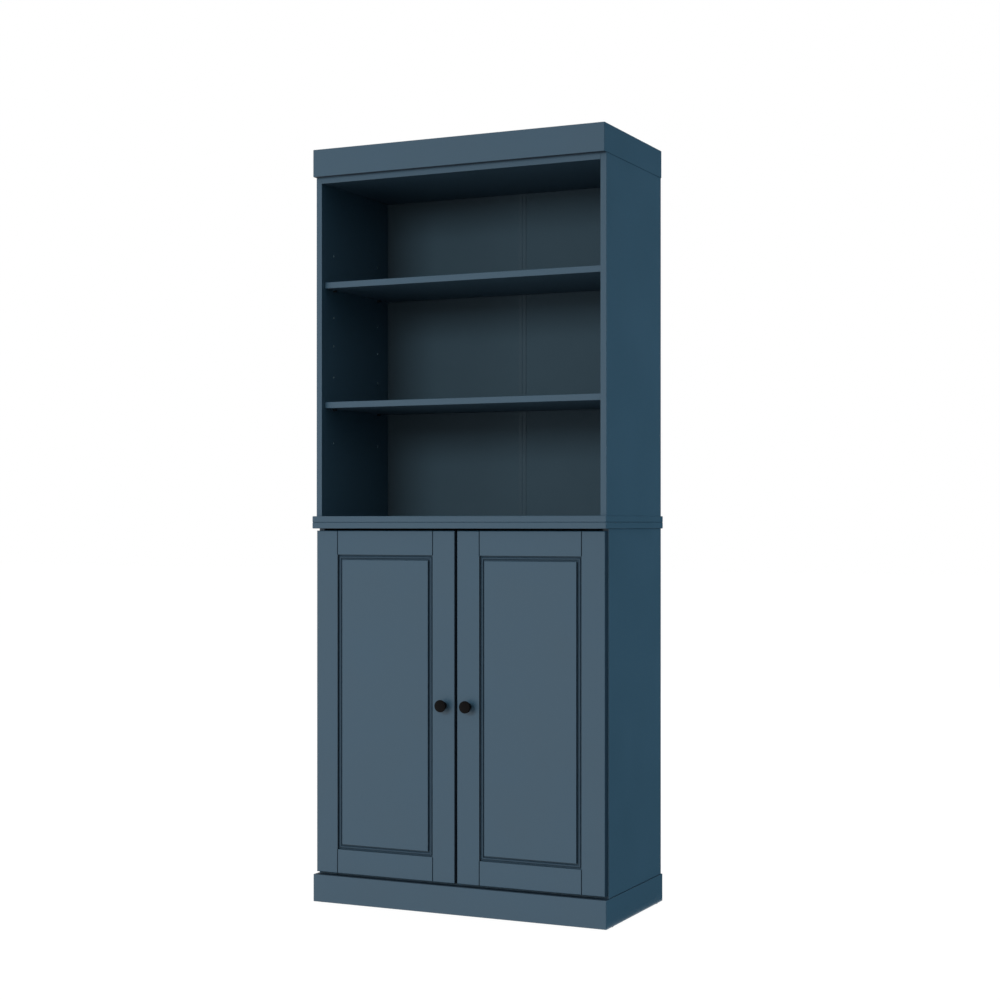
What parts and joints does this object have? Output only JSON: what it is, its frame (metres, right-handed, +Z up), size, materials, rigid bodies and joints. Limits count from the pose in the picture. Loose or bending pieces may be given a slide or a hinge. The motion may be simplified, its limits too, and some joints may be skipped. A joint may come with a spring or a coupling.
{
  "type": "bookcase with cabinet doors",
  "caption": "Tall painted bookcase: an open hutch with adjustable shelves on a base cabinet with framed raised-panel doors and round knobs, between a crown and a plinth.",
  "frame": {"origin": "on the floor, under the middle of the overall box, which reaches from the knobs to the rear edges", "axes": "+X to the right seen from the front, +Y to the back, +Z up"},
  "size_m": [0.77, 0.3804, 1.829],
  "materials": {
    "painted_board": "satin blue-grey paint on composite wood",
    "painted_back_sheet": "blue-grey finished thin fibreboard",
    "joiner_plastic": "matte blue-grey plastic strip",
    "black_knob_metal": "satin black",
    "nickel_plated_hinge_steel": "nickel-plated pressed steel",
    "steel_pin": "bright zinc-plated steel",
    "zinc_plated_screw": "zinc-plated steel",
    "die_cast_zinc": "die-cast zinc",
    "beech_dowel": "unfinished beech",
    "glide_plastic": "matte moulded plastic",
    "clear_bumper": "soft clear pad"
  },
  "bodies": {
    "case": {"base_back_joiner": "joiner_plastic", "base_back_left": "painted_back_sheet", "base_back_right": "painted_back_sheet", "base_bottom_panel": "painted_board", "base_left_side": "painted_board", "base_lower_shelf": "painted_board", "base_right_side": "painted_board", "base_top_panel": "painted_board", "base_upper_shelf": "painted_board", "cam_bolts": "zinc_plated_screw", "cam_locks": "die_cast_zinc", "case_screws": "zinc_plated_screw", "crown_back_rail": "painted_board", "crown_front": "painted_board", "crown_left": "painted_board", "crown_right": "painted_board", "crown_top_panel": "painted_board", "door_bumpers": "clear_bumper", "floor_glides": "glide_plastic", "hinge_arms": "nickel_plated_hinge_steel", "hinge_mounting_plates": "nickel_plated_hinge_steel", "hinge_plate_screws": "zinc_plated_screw", "hutch_back_joiner": "joiner_plastic", "hutch_back_left": "painted_back_sheet", "hutch_back_right": "painted_back_sheet", "hutch_bottom_panel": "painted_board", "hutch_left_side": "painted_board", "hutch_lower_shelf": "painted_board", "hutch_right_side": "painted_board", "hutch_top_panel": "painted_board", "hutch_upper_shelf": "painted_board", "plinth_back": "painted_board", "plinth_centre_brace": "painted_board", "plinth_front": "painted_board", "plinth_front_cleat": "painted_board", "plinth_left": "painted_board", "plinth_right": "painted_board", "shelf_pins": "steel_pin", "stacking_screws": "zinc_plated_screw", "wood_dowels": "beech_dowel"},
    "left_hinge_link": {"left_hinge_links": "nickel_plated_hinge_steel", "left_hinge_pins": "steel_pin"},
    "left_door": {"left_door_bottom_rail": "painted_board", "left_door_hinge_cups": "nickel_plated_hinge_steel", "left_door_hinge_stile": "painted_board", "left_door_knob": "black_knob_metal", "left_door_meeting_stile": "painted_board", "left_door_panel": "painted_board", "left_door_screws": "zinc_plated_screw", "left_door_top_rail": "painted_board"},
    "right_hinge_link": {"right_hinge_links": "nickel_plated_hinge_steel", "right_hinge_pins": "steel_pin"},
    "right_door": {"right_door_bottom_rail": "painted_board", "right_door_hinge_cups": "nickel_plated_hinge_steel", "right_door_hinge_stile": "painted_board", "right_door_knob": "black_knob_metal", "right_door_meeting_stile": "painted_board", "right_door_panel": "painted_board", "right_door_screws": "zinc_plated_screw", "right_door_top_rail": "painted_board"}
  },
  "joints": [
    {"name": "left_link_pivot", "type": "hinge", "parent": "case", "child": "left_hinge_link", "pos_m": [-0.35, -0.14875, 0.489], "axis": [0, 0, -1], "range_deg": [-30.6, 0]},
    {"name": "left_door_hinge", "type": "hinge", "parent": "left_hinge_link", "child": "left_door", "pos_m": [-0.3687, -0.15825, 0.489], "axis": [0, 0, -1], "range_deg": [0, 130]},
    {"name": "right_link_pivot", "type": "hinge", "parent": "case", "child": "right_hinge_link", "pos_m": [0.35, -0.14875, 0.489], "axis": [0, 0, 1], "range_deg": [-30.6, 0]},
    {"name": "right_door_hinge", "type": "hinge", "parent": "right_hinge_link", "child": "right_door", "pos_m": [0.3687, -0.15825, 0.489], "axis": [0, 0, 1], "range_deg": [0, 130]}
  ],
  "couplings": [
    {"joint": "left_link_pivot", "follows": "left_door_hinge", "ratio": -0.235},
    {"joint": "right_link_pivot", "follows": "right_door_hinge", "ratio": -0.235}
  ]
}
